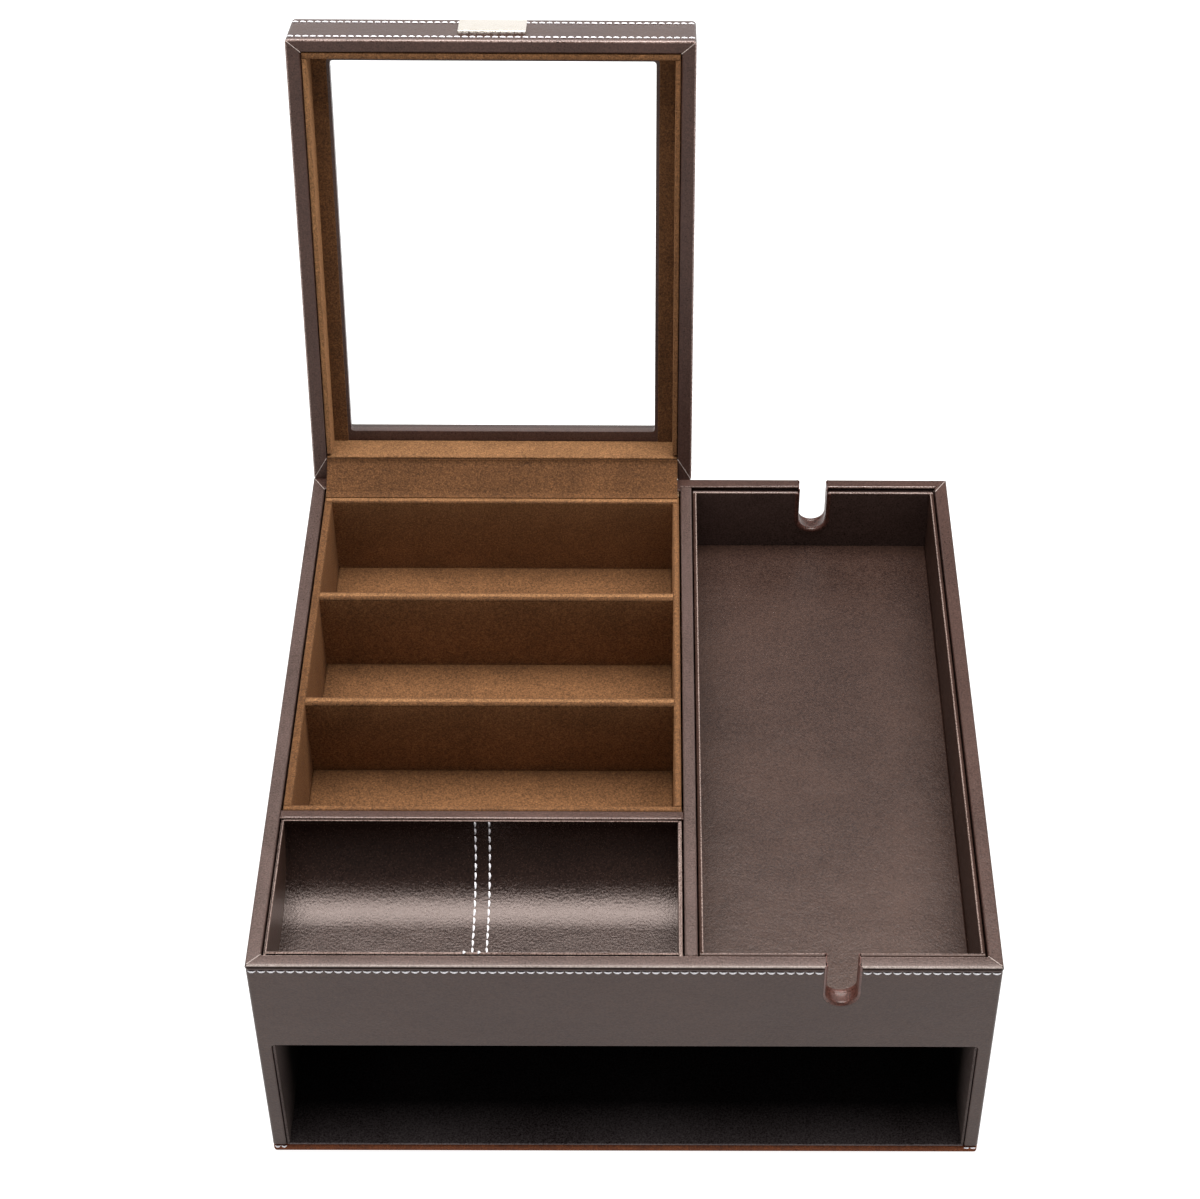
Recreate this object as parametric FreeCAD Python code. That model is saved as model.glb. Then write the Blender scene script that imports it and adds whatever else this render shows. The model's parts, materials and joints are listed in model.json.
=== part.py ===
import FreeCAD, Part
import math
import os

# Valet box of leather-covered boards: three glasses slots under a glazed lid, a curved scoop tray,
# a long tray with a cable notch at each end, and an open cubby underneath. Millimetres, +Z up.
# The origin is the centre of the underside, +X is to the right and +Y to the rear.

# Case
case_width = 320.0
case_depth = 313.0
case_height = 134.0
side_wall = 6.2
front_wall = 6.0
rear_wall = 5.2
rim_height = 2.3
cover_sheet = 0.8
base_height = 4.8
cubby_top = 78.5
deck_bottom = 80.4
deck_top = 86.4
gap = 0.3
board_seam = 0.8
overshoot = 1.0

# Layout of the top, measured from the front face
long_divider_left = 25.4
long_divider_right = 31.0
cross_divider_front = 83.2
cross_divider_rear = 88.0
hinge_rail_front = 301.0
wide_rim_front = 304.4

# Glasses compartment
slot_left = -149.4
slot_right = 21.4
slot_front = 91.5
slot_lengths = [63.0, 65.8, 64.9]
slot_divider = 5.3
slot_floor = 89.0
slot_lining_top = 133.4
slot_back_lining = 4.9

# Scoop tray
scoop_left = -151.8
scoop_right = 22.9
scoop_front = 8.0
scoop_flat_end = 45.5
scoop_rear = 82.1
scoop_edge_height = 133.4
scoop_floor = 102.5
scoop_front_bend = 10.0
scoop_sheet = 1.8
scoop_rib_rise = 12.0
scoop_rib_positions = [-110.0, -64.0, -18.0]
scoop_rib_width = 6.0

# Long tray
tray_left = 33.4
tray_right = 151.2
tray_front = 8.2
tray_rear = 304.0
tray_floor = 98.0
tray_pad = 1.6
tray_board = 2.6
tray_lining = 1.8
tray_lining_top = 133.2
tray_batten_width = 18.0
tray_batten_margin = 30.0

# Cable notches
notch_centre = 92.4
notch_width = 15.0
notch_bottom = 108.0
notch_trim = 0.9

# Cubby lining
lining = 1.2

# Lid, built closed and then opened
lid_right = 31.0
lid_length = 229.0
lid_height = 30.5
lid_gap = 0.3
lid_rail = 7.0
lid_front_rail = 6.1
lid_rear_rail = 11.2
lid_lining = 2.4
lid_front_lining = 3.4
lid_rear_lining = 2.1
lid_recess = 15.0
lid_inner_board = 5.0
lid_glass_thickness = 2.5
lid_glass_bite = 4.5
lid_frame_step = 3.0
window_left = -141.6
window_right = 12.3
window_rear = 18.9
window_front = 213.7
lid_open_angle = 103.0

# Clasp plate on the lid's front
clasp_width = 32.0
clasp_height = 16.2
clasp_thickness = 2.0
clasp_centre_height = 16.4
clasp_corner = 0.8

# Hinges and the suede strip over them
hinge_positions = [-120.0, -9.0]
hinge_length = 32.0
hinge_knuckle = 9.0
hinge_knuckle_gap = 0.3
hinge_barrel_radius = 2.0
hinge_pin_radius = 0.95
hinge_pin_play = 0.05
hinge_leaf = 0.9
hinge_leaf_width = 10.0
hinge_neck = 1.0
hinge_clearance = 0.4
screw_spacing = 20.0
screw_radius = 1.2
screw_length = 6.0
screw_offset = 7.0
strip_left = -152.7
strip_right = 23.8
strip_thickness = 0.6
strip_front = 298.7

left = -case_width / 2
right = case_width / 2
front = -case_depth / 2
rear = case_depth / 2
inner_left = left + side_wall
inner_right = right - side_wall
inner_front = front + front_wall
inner_rear = rear - rear_wall
wall_top = case_height - rim_height
hinge_y = rear
hinge_z = case_height + lid_gap / 2
tray_floor_bottom = tray_floor - tray_pad - tray_board
strip_recess = strip_thickness + hinge_leaf


def slab(x0, x1, y0, y1, z0, z1):
    return Part.makeBox(x1 - x0, y1 - y0, z1 - z0, FreeCAD.Vector(x0, y0, z0))


def prism(points, height):
    """Closed polygon of vectors, extruded upwards."""
    face = Part.Face(Part.makePolygon(points + points[:1]))
    return face.extrude(FreeCAD.Vector(0, 0, height))


def cylinder_x(radius, x0, x1, y, z):
    return Part.makeCylinder(radius, x1 - x0, FreeCAD.Vector(x0, y, z), FreeCAD.Vector(1, 0, 0))


def group(solids):
    return solids[0] if len(solids) == 1 else Part.makeCompound(solids)


def save(name, shape):
    shape.exportStep("parts/" + name + ".step")


def from_front(distance):
    return front + distance


def notch_tool(y0, y1, wall):
    """U-shaped cutter through a wall: a slot with a round bottom, smaller all round by wall."""
    radius = notch_width / 2 - wall
    axis_height = notch_bottom + notch_width / 2
    slot = slab(notch_centre - radius, notch_centre + radius, y0, y1, axis_height, case_height + overshoot)
    bottom = Part.makeCylinder(
        radius, y1 - y0, FreeCAD.Vector(notch_centre, y0, axis_height), FreeCAD.Vector(0, 1, 0)
    )
    return slot.fuse(bottom).removeSplitter()


def hinge_spans(start):
    """The three knuckle spans of one hinge, outer, middle and outer."""
    end = start + hinge_length
    inner_start = start + hinge_knuckle
    inner_end = end - hinge_knuckle
    return [
        (start, inner_start - hinge_knuckle_gap),
        (inner_start, inner_end),
        (inner_end + hinge_knuckle_gap, end),
    ]


def hinge_relief():
    """Room round every hinge barrel, cut from the boards and rims beside it."""
    radius = hinge_barrel_radius + hinge_clearance
    reliefs = []
    for centre in hinge_positions:
        start = centre - hinge_length / 2 - hinge_clearance
        end = centre + hinge_length / 2 + hinge_clearance
        reliefs.append(cylinder_x(radius, start, end, hinge_y, hinge_z))
    return Part.makeCompound(reliefs)


def leaf_relief(z0, z1):
    """Mortises for the hinge leaves in a horizontal face."""
    cuts = []
    for centre in hinge_positions:
        start = centre - hinge_length / 2 - hinge_clearance
        end = centre + hinge_length / 2 + hinge_clearance
        cuts.append(slab(start, end, hinge_y - hinge_leaf_width - hinge_clearance, hinge_y, z0, z1))
    return Part.makeCompound(cuts)


def opened(shape):
    """The lid's closed shape, turned about the hinge axis to where it rests open."""
    turned = shape.copy()
    turned.rotate(FreeCAD.Vector(0, hinge_y, hinge_z), FreeCAD.Vector(1, 0, 0), -lid_open_angle)
    return turned


def save_lid(name, shape):
    save(name, opened(shape))


def make_case():
    save("base_cover", slab(left, right, front, rear, 0, cover_sheet))
    save("base_board", slab(left, right, front, rear, cover_sheet, base_height))
    save("left_side_panel", slab(left, inner_left, front, rear, base_height, wall_top))
    save("right_side_panel", slab(inner_right, right, front, rear, base_height, wall_top))
    rear_panel = slab(inner_left, inner_right, inner_rear, rear, base_height, wall_top)
    save("rear_panel", rear_panel.cut(notch_tool(inner_rear - overshoot, rear + overshoot, 0)))
    apron = slab(inner_left, inner_right, front, inner_front, cubby_top, wall_top)
    save("front_apron", apron.cut(notch_tool(front - overshoot, inner_front + overshoot, 0)))
    save("middle_deck", slab(inner_left, inner_right, inner_front, inner_rear, deck_bottom, deck_top))
    save(
        "long_divider",
        slab(long_divider_left, long_divider_right, inner_front, inner_rear, deck_top, case_height),
    )
    save(
        "cross_divider",
        slab(
            inner_left,
            long_divider_left,
            from_front(cross_divider_front),
            from_front(cross_divider_rear),
            deck_top,
            case_height,
        ),
    )


def make_rims():
    """Leather rim bands on the wall tops, mitred at the corners."""
    rim_seat = FreeCAD.Vector(0, 0, wall_top)
    wide_front = from_front(wide_rim_front)
    corner = {
        "front_left": (FreeCAD.Vector(left, front, 0), FreeCAD.Vector(inner_left, inner_front, 0)),
        "front_right": (FreeCAD.Vector(right, front, 0), FreeCAD.Vector(inner_right, inner_front, 0)),
        "rear_right": (FreeCAD.Vector(right, rear, 0), FreeCAD.Vector(inner_right, inner_rear, 0)),
        "rear_left": (FreeCAD.Vector(left, rear, 0), FreeCAD.Vector(inner_left, wide_front, 0)),
    }

    def band(first, second):
        outer_a, inner_a = corner[first]
        outer_b, inner_b = corner[second]
        body = prism([outer_a, outer_b, inner_b, inner_a], rim_height)
        body.translate(rim_seat)
        return body

    save("left_rim", band("front_left", "rear_left"))
    save("right_rim", band("rear_right", "front_right"))
    front_band = band("front_right", "front_left").cut(notch_tool(front - overshoot, inner_front + overshoot, 0))
    save("front_rim", Part.makeCompound(front_band.Solids))
    narrow_end = FreeCAD.Vector(long_divider_right, inner_rear, 0)
    wide_end = FreeCAD.Vector(long_divider_right, wide_front, 0)
    outer_left, step_left = corner["rear_left"]
    outer_right, step_right = corner["rear_right"]
    rear_band = prism([outer_left, outer_right, step_right, narrow_end, wide_end, step_left], rim_height)
    rear_band.translate(rim_seat)
    strip_seat = slab(
        strip_left, strip_right, from_front(hinge_rail_front), rear + overshoot,
        case_height - strip_thickness, case_height + overshoot,
    )
    leaf_seat = leaf_relief(case_height - strip_recess, case_height + overshoot)
    divider_end = slab(
        long_divider_left, long_divider_right, wide_front - overshoot, inner_rear,
        wall_top - overshoot, case_height + overshoot,
    )
    rear_band = rear_band.cut(strip_seat).cut(leaf_seat).cut(hinge_relief()).cut(divider_end)
    rear_band = rear_band.cut(notch_tool(inner_rear - overshoot, rear + overshoot, 0))
    rear_band = rear_band.cut(Part.makeCompound(case_screw_pins()))
    save("rear_rim", Part.makeCompound(rear_band.Solids))


def make_notch_trims():
    """U-shaped edgings that line each cable notch through the wall and the tray lining."""
    spans = {
        "front_notch_trim": (front, from_front(tray_front)),
        "rear_notch_trim": (from_front(tray_rear), rear),
    }
    for name, (y0, y1) in spans.items():
        trim = notch_tool(y0, y1, 0).cut(notch_tool(y0 - overshoot, y1 + overshoot, notch_trim))
        save(name, trim.common(slab(left, right, y0, y1, deck_top, case_height)))


def make_tray():
    """Long tray on the right: linings, padded floor and the battens that raise it."""
    y0 = from_front(tray_front)
    y1 = from_front(tray_rear)
    x0 = tray_left - tray_lining
    x1 = tray_right + tray_lining
    base = tray_floor_bottom
    save("tray_left_lining", slab(x0, tray_left, y0, y1, base, tray_lining_top))
    save("tray_right_lining", slab(tray_right, x1, y0, y1, base, tray_lining_top))
    front_lining = slab(x0, x1, y0 - tray_lining, y0, base, tray_lining_top)
    save("tray_front_lining", front_lining.cut(notch_tool(y0 - tray_lining - overshoot, y0 + overshoot, 0)))
    rear_lining = slab(x0, x1, y1, y1 + tray_lining, base, tray_lining_top)
    save("tray_rear_lining", rear_lining.cut(notch_tool(y1 - overshoot, y1 + tray_lining + overshoot, 0)))
    save("tray_floor_board", slab(tray_left, tray_right, y0, y1, base, base + tray_board))
    save("tray_floor_pad", slab(tray_left, tray_right, y0, y1, base + tray_board, tray_floor))
    battens = []
    for centre in (y0 + tray_batten_margin, (y0 + y1) / 2, y1 - tray_batten_margin):
        half = tray_batten_width / 2
        battens.append(slab(tray_left, tray_right, centre - half, centre + half, deck_top, base))
    save("tray_battens", group(battens))


def make_slots():
    """Suede-lined glasses compartment with two dividers and three floor pads."""
    y0 = from_front(slot_front)
    y1 = y0 + sum(slot_lengths) + slot_divider * (len(slot_lengths) - 1)
    outer_left = inner_left + board_seam
    outer_right = long_divider_left - board_seam
    outer_front = from_front(cross_divider_rear) + gap
    outer_rear = y1 + slot_back_lining
    top = slot_lining_top
    save("slot_left_lining", slab(outer_left, slot_left, y0, y1, deck_top, top))
    save("slot_right_lining", slab(slot_right, outer_right, y0, y1, deck_top, top))
    save("slot_front_lining", slab(outer_left, outer_right, outer_front, y0, deck_top, top))
    save("slot_rear_lining", slab(outer_left, outer_right, y1, outer_rear, deck_top, top))
    divider_names = ["slot_front_divider", "slot_rear_divider"]
    pad_names = ["slot_front_pad", "slot_middle_pad", "slot_rear_pad"]
    y = y0
    for index, length in enumerate(slot_lengths):
        save(pad_names[index], slab(slot_left, slot_right, y, y + length, deck_top, slot_floor))
        y += length
        if index < len(divider_names):
            divider = slab(slot_left, slot_right, y, y + slot_divider, deck_top, top - gap)
            save(divider_names[index], divider)
        y += slot_divider
    rail = slab(outer_left, outer_right, outer_rear, inner_rear, deck_top, wall_top)
    step = slab(
        outer_left, outer_right, outer_rear, from_front(wide_rim_front),
        wall_top, case_height - strip_thickness,
    )
    leaf_seat = leaf_relief(case_height - strip_recess, case_height + overshoot)
    case_screws = Part.makeCompound(case_screw_pins())
    save("hinge_rail", rail.fuse(step).removeSplitter().cut(leaf_seat).cut(case_screws))


def scoop_tool(grow):
    """Hollow of the scoop: upright front, flat floor and a rear that curves up, larger all round by grow."""
    y0 = from_front(scoop_front) - grow
    y1 = from_front(scoop_flat_end)
    y2 = from_front(scoop_rear) + grow
    bend = scoop_front_bend + grow
    floor = scoop_floor - grow
    top = case_height + overshoot
    lip = scoop_edge_height

    def at(y, z):
        return FreeCAD.Vector(left, y, z)

    half_turn = math.sqrt(0.5)
    curve = Part.Ellipse(at(y2, lip), at(y1, floor), at(y1, lip))
    edges = [
        Part.makeLine(at(y0, top), at(y0, floor + bend)),
        Part.Arc(
            at(y0, floor + bend),
            at(y0 + bend * (1 - half_turn), floor + bend * (1 - half_turn)),
            at(y0 + bend, floor),
        ).toShape(),
        Part.makeLine(at(y0 + bend, floor), at(y1, floor)),
        curve.toShape(0, math.pi / 2),
        Part.makeLine(at(y2, lip), at(y2, top)),
        Part.makeLine(at(y2, top), at(y0, top)),
    ]
    return Part.Face(Part.Wire(edges)).extrude(FreeCAD.Vector(case_width, 0, 0))


def make_scoop():
    """Leather panel bent into a scoop between two end linings, carried on shaped ribs."""
    scoop_y0 = inner_front + gap
    scoop_y1 = from_front(cross_divider_front) - gap
    envelope = slab(scoop_left, scoop_right, scoop_y0, scoop_y1, deck_top, scoop_edge_height)
    outer = scoop_tool(scoop_sheet)
    save("scoop_panel", outer.common(envelope).cut(scoop_tool(0)))
    end_top = tray_lining_top
    save(
        "scoop_left_lining",
        slab(inner_left + board_seam, scoop_left, scoop_y0, scoop_y1, deck_top, end_top),
    )
    save(
        "scoop_right_lining",
        slab(scoop_right, long_divider_left - board_seam, scoop_y0, scoop_y1, deck_top, end_top),
    )
    ribs = []
    for x in scoop_rib_positions:
        rib = slab(
            x - scoop_rib_width / 2, x + scoop_rib_width / 2,
            scoop_y0, scoop_y1, deck_top, scoop_floor + scoop_rib_rise,
        )
        ribs.append(max(rib.cut(outer).Solids, key=lambda solid: solid.Volume))
    save("scoop_ribs", group(ribs))


def make_cubby_lining():
    """Black lining boards of the open cubby."""
    x0 = inner_left + gap
    x1 = inner_right - gap
    y1 = inner_rear - gap
    ceiling = deck_bottom - lining
    floor_top = base_height + lining
    save("cubby_floor_lining", slab(x0, x1, front + gap, y1, base_height, floor_top))
    sides = [
        slab(x, x + lining, front + gap, y1 - lining, floor_top, cubby_top) for x in (x0, x1 - lining)
    ]
    save("cubby_side_linings", group(sides))
    save("cubby_rear_lining", slab(x0, x1, y1 - lining, y1, floor_top, cubby_top))
    save("cubby_ceiling_lining", slab(x0, x1, inner_front, y1, ceiling, deck_bottom))


def screw_pins(z):
    """Hinge screws as plain pins that stand on height z."""
    pins = []
    for centre in hinge_positions:
        for x in (centre - screw_spacing / 2, centre + screw_spacing / 2):
            base = FreeCAD.Vector(x, hinge_y - screw_offset, z)
            pins.append(Part.makeCylinder(screw_radius, screw_length, base))
    return pins


def case_screw_pins():
    """Screws down into the case, their heads flush with the leaves."""
    return screw_pins(case_height - strip_thickness - screw_length)


def lid_screw_pins():
    """Screws up into the closed lid, their heads flush with the leaves."""
    return screw_pins(case_height + lid_gap + strip_thickness)


def hinge_leaves(is_case):
    """Leaf plates with their knuckles: the outer two on the case, the middle one on the lid."""
    leaves = []
    for centre in hinge_positions:
        start = centre - hinge_length / 2
        spans = hinge_spans(start)
        own = [spans[0], spans[2]] if is_case else [spans[1]]
        if is_case:
            z0 = case_height - strip_recess
        else:
            z0 = case_height + lid_gap + strip_thickness
        leaf = slab(start, start + hinge_length, hinge_y - hinge_leaf_width, hinge_y, z0, z0 + hinge_leaf)
        ends = (start - overshoot, start + hinge_length + overshoot)
        barrel = cylinder_x(hinge_barrel_radius + hinge_knuckle_gap, *ends, hinge_y, hinge_z)
        leaf = leaf.cut(barrel)
        for x0, x1 in own:
            knuckle = cylinder_x(hinge_barrel_radius, x0, x1, hinge_y, hinge_z)
            neck_start = hinge_y - hinge_barrel_radius - hinge_neck
            neck = slab(x0, x1, neck_start, hinge_y, z0, z0 + hinge_leaf)
            leaf = leaf.fuse(neck).fuse(knuckle)
        bore = cylinder_x(hinge_pin_radius + hinge_pin_play, *ends, hinge_y, hinge_z)
        leaves.append(leaf.cut(bore).removeSplitter())
    return leaves


def make_hinges():
    case_screws = case_screw_pins()
    case_leaves = [leaf.cut(Part.makeCompound(case_screws)) for leaf in hinge_leaves(True)]
    save("case_hinge_leaves", group(case_leaves))
    save("case_hinge_screws", group(case_screws))
    pins = []
    for centre in hinge_positions:
        start = centre - hinge_length / 2
        pins.append(cylinder_x(hinge_pin_radius, start, start + hinge_length, hinge_y, hinge_z))
    save("hinge_pins", group(pins))
    lid_screws = lid_screw_pins()
    lid_leaves = [leaf.cut(Part.makeCompound(lid_screws)) for leaf in hinge_leaves(False)]
    save_lid("lid_hinge_leaves", group(lid_leaves))
    save_lid("lid_hinge_screws", group(lid_screws))
    strip_end = hinge_barrel_radius + hinge_clearance
    case_strip = slab(
        strip_left, strip_right, from_front(strip_front), hinge_y - strip_end,
        case_height - strip_thickness, case_height,
    )
    save("case_hinge_strip", case_strip)
    lid_strip = lid_slab(strip_left, strip_right, strip_end, lid_rear_rail - gap, 0, strip_thickness)
    save_lid("lid_hinge_strip", lid_strip)


def lid_slab(x0, x1, u0, u1, v0, v1):
    """Box in the closed lid: u runs forward from the hinge, v up from the lid's rim."""
    base = case_height + lid_gap
    return slab(x0, x1, rear - u1, rear - u0, base + v0, base + v1)


def lid_corners(x0, x1, u0, u1):
    """Corners of a rectangle in the lid's plane, from the rear left round to the front left."""
    places = [(x0, u0), (x1, u0), (x1, u1), (x0, u1)]
    return [FreeCAD.Vector(x, rear - u, 0) for x, u in places]


def make_lid_walls():
    """Rails, mitred rim bands, inner board, glass and top frame of the lid."""
    x0 = left + lid_rail
    x1 = lid_right - lid_rail
    u1 = lid_length - lid_front_rail
    save_lid("lid_left_rail", lid_slab(left, x0, 0, lid_length, rim_height, lid_height))
    save_lid("lid_right_rail", lid_slab(x1, lid_right, 0, lid_length, rim_height, lid_height))
    save_lid("lid_front_rail", lid_slab(x0, x1, u1, lid_length, rim_height, lid_height))
    rear_rail = lid_slab(x0, x1, 0, lid_rear_rail, rim_height, lid_height)
    lid_screws = Part.makeCompound(lid_screw_pins())
    save_lid("lid_rear_rail", rear_rail.cut(lid_screws))

    outer = lid_corners(left, lid_right, 0, lid_length)
    inner = lid_corners(x0, x1, lid_rear_rail, u1)
    bands = []
    for index in range(len(outer)):
        following = (index + 1) % len(outer)
        corners = [outer[index], outer[following], inner[following], inner[index]]
        band = prism(corners, rim_height)
        band.translate(FreeCAD.Vector(0, 0, case_height + lid_gap))
        bands.append(band)
    strip_seat = lid_slab(
        strip_left, strip_right, -overshoot, lid_rear_rail + overshoot, -overshoot, strip_thickness
    )
    leaf_seat = leaf_relief(case_height, case_height + lid_gap + strip_recess)
    bands[0] = bands[0].cut(strip_seat).cut(leaf_seat).cut(hinge_relief()).cut(lid_screws)
    save_lid("lid_rim", group(bands))


def make_lid_window():
    x0 = left + lid_rail
    x1 = lid_right - lid_rail
    u0 = lid_rear_rail
    u1 = lid_length - lid_front_rail
    board_top = lid_recess + lid_inner_board
    glass_top = board_top + lid_glass_thickness

    def ring(outer, inner, v0, v1):
        """Four bars round a rectangle, each rectangle given as x0, x1, u0, u1."""
        ox0, ox1, ou0, ou1 = outer
        ix0, ix1, iu0, iu1 = inner
        return [
            lid_slab(ox0, ix0, ou0, ou1, v0, v1),
            lid_slab(ix1, ox1, ou0, ou1, v0, v1),
            lid_slab(ix0, ix1, ou0, iu0, v0, v1),
            lid_slab(ix0, ix1, iu1, ou1, v0, v1),
        ]

    outline = (x0, x1, u0, u1)
    window = (window_left, window_right, window_rear, window_front)
    pocket = (
        window_left - lid_glass_bite,
        window_right + lid_glass_bite,
        window_rear - lid_glass_bite,
        window_front + lid_glass_bite,
    )
    opening = (
        window_left - lid_frame_step,
        window_right + lid_frame_step,
        window_rear - lid_frame_step,
        window_front + lid_frame_step,
    )
    save_lid("lid_inner_board", group(ring(outline, window, lid_recess, board_top)))
    save_lid("lid_glass", lid_slab(*pocket, board_top, glass_top))
    spacer = ring(outline, pocket, board_top, glass_top)
    frame = ring(outline, opening, glass_top, lid_height)
    bars = [low.fuse(high).removeSplitter() for low, high in zip(spacer, frame)]
    save_lid("lid_top_frame", group(bars))


def make_lid_lining():
    x0 = left + lid_rail
    x1 = lid_right - lid_rail
    u0 = lid_rear_rail
    u1 = lid_length - lid_front_rail
    x2 = x0 + gap
    x3 = x1 - gap
    u2 = u0 + lid_rear_lining
    u3 = u1 - lid_front_lining
    save_lid("lid_left_lining", lid_slab(x2, x2 + lid_lining, u2, u3, gap, lid_recess))
    save_lid("lid_right_lining", lid_slab(x3 - lid_lining, x3, u2, u3, gap, lid_recess))
    save_lid("lid_front_lining", lid_slab(x2, x3, u3, u1 - gap, gap, lid_recess))
    save_lid("lid_rear_lining", lid_slab(x2, x3, u0, u2, gap, lid_recess))


def make_clasp():
    """Polished plate centred on the lid's front face, its outer edges eased."""
    centre = (left + lid_right) / 2
    half = clasp_width / 2
    v0 = clasp_centre_height - clasp_height / 2
    plate = lid_slab(
        centre - half, centre + half, lid_length, lid_length + clasp_thickness, v0, v0 + clasp_height
    )
    front_face_y = rear - lid_length - clasp_thickness
    edges = [edge for edge in plate.Edges if abs(edge.CenterOfMass.y - front_face_y) < clasp_corner / 2]
    save_lid("clasp_plate", plate.makeFillet(clasp_corner, edges))


os.makedirs("parts", exist_ok=True)
make_case()
make_rims()
make_notch_trims()
make_tray()
make_slots()
make_scoop()
make_cubby_lining()
make_hinges()
make_lid_walls()
make_lid_window()
make_lid_lining()
make_clasp()
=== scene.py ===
import json
import math
import random

import bmesh
import bpy
from mathutils import Matrix, Vector


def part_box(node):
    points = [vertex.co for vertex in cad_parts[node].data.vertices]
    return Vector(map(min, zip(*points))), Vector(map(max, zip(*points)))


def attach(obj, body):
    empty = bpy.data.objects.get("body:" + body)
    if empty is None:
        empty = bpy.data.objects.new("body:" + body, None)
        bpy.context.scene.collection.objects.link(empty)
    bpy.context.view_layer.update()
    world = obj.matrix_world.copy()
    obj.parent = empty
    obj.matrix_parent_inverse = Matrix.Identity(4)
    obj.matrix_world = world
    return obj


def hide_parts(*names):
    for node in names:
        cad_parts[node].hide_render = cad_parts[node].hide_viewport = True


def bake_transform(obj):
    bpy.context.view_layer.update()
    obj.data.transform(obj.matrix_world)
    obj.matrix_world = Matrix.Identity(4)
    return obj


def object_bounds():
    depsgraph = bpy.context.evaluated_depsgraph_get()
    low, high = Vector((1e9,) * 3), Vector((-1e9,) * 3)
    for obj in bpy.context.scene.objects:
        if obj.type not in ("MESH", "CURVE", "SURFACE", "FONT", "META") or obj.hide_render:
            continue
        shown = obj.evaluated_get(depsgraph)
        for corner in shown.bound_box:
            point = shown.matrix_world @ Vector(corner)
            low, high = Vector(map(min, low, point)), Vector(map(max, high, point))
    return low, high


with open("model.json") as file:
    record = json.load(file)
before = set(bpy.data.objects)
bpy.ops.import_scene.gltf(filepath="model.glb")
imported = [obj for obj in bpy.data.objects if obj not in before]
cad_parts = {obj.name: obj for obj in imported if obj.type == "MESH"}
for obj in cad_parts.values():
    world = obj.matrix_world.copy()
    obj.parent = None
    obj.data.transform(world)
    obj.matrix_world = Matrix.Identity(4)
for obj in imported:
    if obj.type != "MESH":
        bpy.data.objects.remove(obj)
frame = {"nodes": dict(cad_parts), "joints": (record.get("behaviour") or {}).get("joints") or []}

cadLow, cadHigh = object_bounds()
mm = 0.001    # the dictionaries of pieces give millimetres
nearly = 0.1 * mm
beyond = 10 * mm    # how far a cutter goes past what it cuts
farUp = 200 * mm    # above everything while the lid is shut
nodeObjects = frame["nodes"]
lidJoint = frame["joints"][0]
hingePoint = Vector(lidJoint["pos_m"])
openAngle = math.radians(max(lidJoint["range_deg"], key=abs))
toClosed = (Matrix.Translation(hingePoint) @ Matrix.Rotation(openAngle, 4, "X")
            @ Matrix.Translation(-hingePoint))
toOpen = toClosed.inverted()
random.seed(7)

# shared steps for objects and nodes


def newObject(name, data):
    made = bpy.data.objects.new(name, data)
    bpy.context.scene.collection.objects.link(made)
    return made


def newMaterial(name):
    material = bpy.data.materials.new(name)
    material.use_nodes = True
    return material, material.node_tree, material.node_tree.nodes["Principled BSDF"]


def setInputs(tree, node, values):
    for key, value in values.items():
        if isinstance(value, bpy.types.NodeSocket):
            tree.links.new(value, node.inputs[key])
        else:
            node.inputs[key].default_value = value


def addNode(tree, kind, values=None, **settings):
    node = tree.nodes.new(kind)
    for key, value in settings.items():
        setattr(node, key, value)
    setInputs(tree, node, values or {})
    return node


def ownPlace(tree):    # object coordinates
    return addNode(tree, "ShaderNodeTexCoord").outputs["Object"]


def noise(tree, where, scale, detail=3.0, roughness=0.55, distortion=0.0):
    values = {"Vector": where, "Scale": scale, "Detail": detail, "Roughness": roughness,
              "Distortion": distortion}
    return addNode(tree, "ShaderNodeTexNoise", values).outputs["Fac"]


def spread(tree, value, low, high, newLow=0.0, newHigh=1.0):
    values = {"Value": value, "From Min": low, "From Max": high, "To Min": newLow, "To Max": newHigh}
    return addNode(tree, "ShaderNodeMapRange", values).outputs["Result"]


def blendColors(tree, amount, first, second, mode="MIX"):
    mix = addNode(tree, "ShaderNodeMix", {0: amount, 6: first, 7: second}, data_type="RGBA",
                  blend_type=mode, clamp_factor=False)
    return mix.outputs[2]


def maths(tree, operation, first, second):
    return addNode(tree, "ShaderNodeMath", {0: first, 1: second}, operation=operation).outputs[0]


def weighed(tree, *pairs):    # the sum of value times share
    return maths(tree, "ADD", *[maths(tree, "MULTIPLY", *pair) for pair in pairs])


def grey(tree, value):
    return addNode(tree, "ShaderNodeCombineColor", {0: value, 1: value, 2: value}).outputs[0]


# studio: camera, backdrop, softbox and floor

studio = {
    "sensor": 36, "lens": 79.97, "shift": -0.0542, "nearest": 0.05,
    "place": (0.0095, -0.8651, 1.0182), "pitch": 43.451, "yaw": 0.489, "roll": 0.546,
    "turn": (-0.1, 0.6),    # where the sky's pairs go from their front value to their rear one
    "horizon": (1.0, 1.3), "sky": (0.1, 0.4), "skyStart": (0.04, 0.3), "skyEnd": (0.24, 0.6),
    "sideSky": 0.6, "sideStart": 0.25, "sideEnd": 0.7,
    "softbox": (1.9, 0.66), "softboxPlace": (0.1, 0.27, 1.35), "softboxPower": 38.0,
    "floorHalf": 4, "floorTone": 0.3, "floorGlow": 0.95,
}
white = (1, 1, 1, 1)


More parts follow.
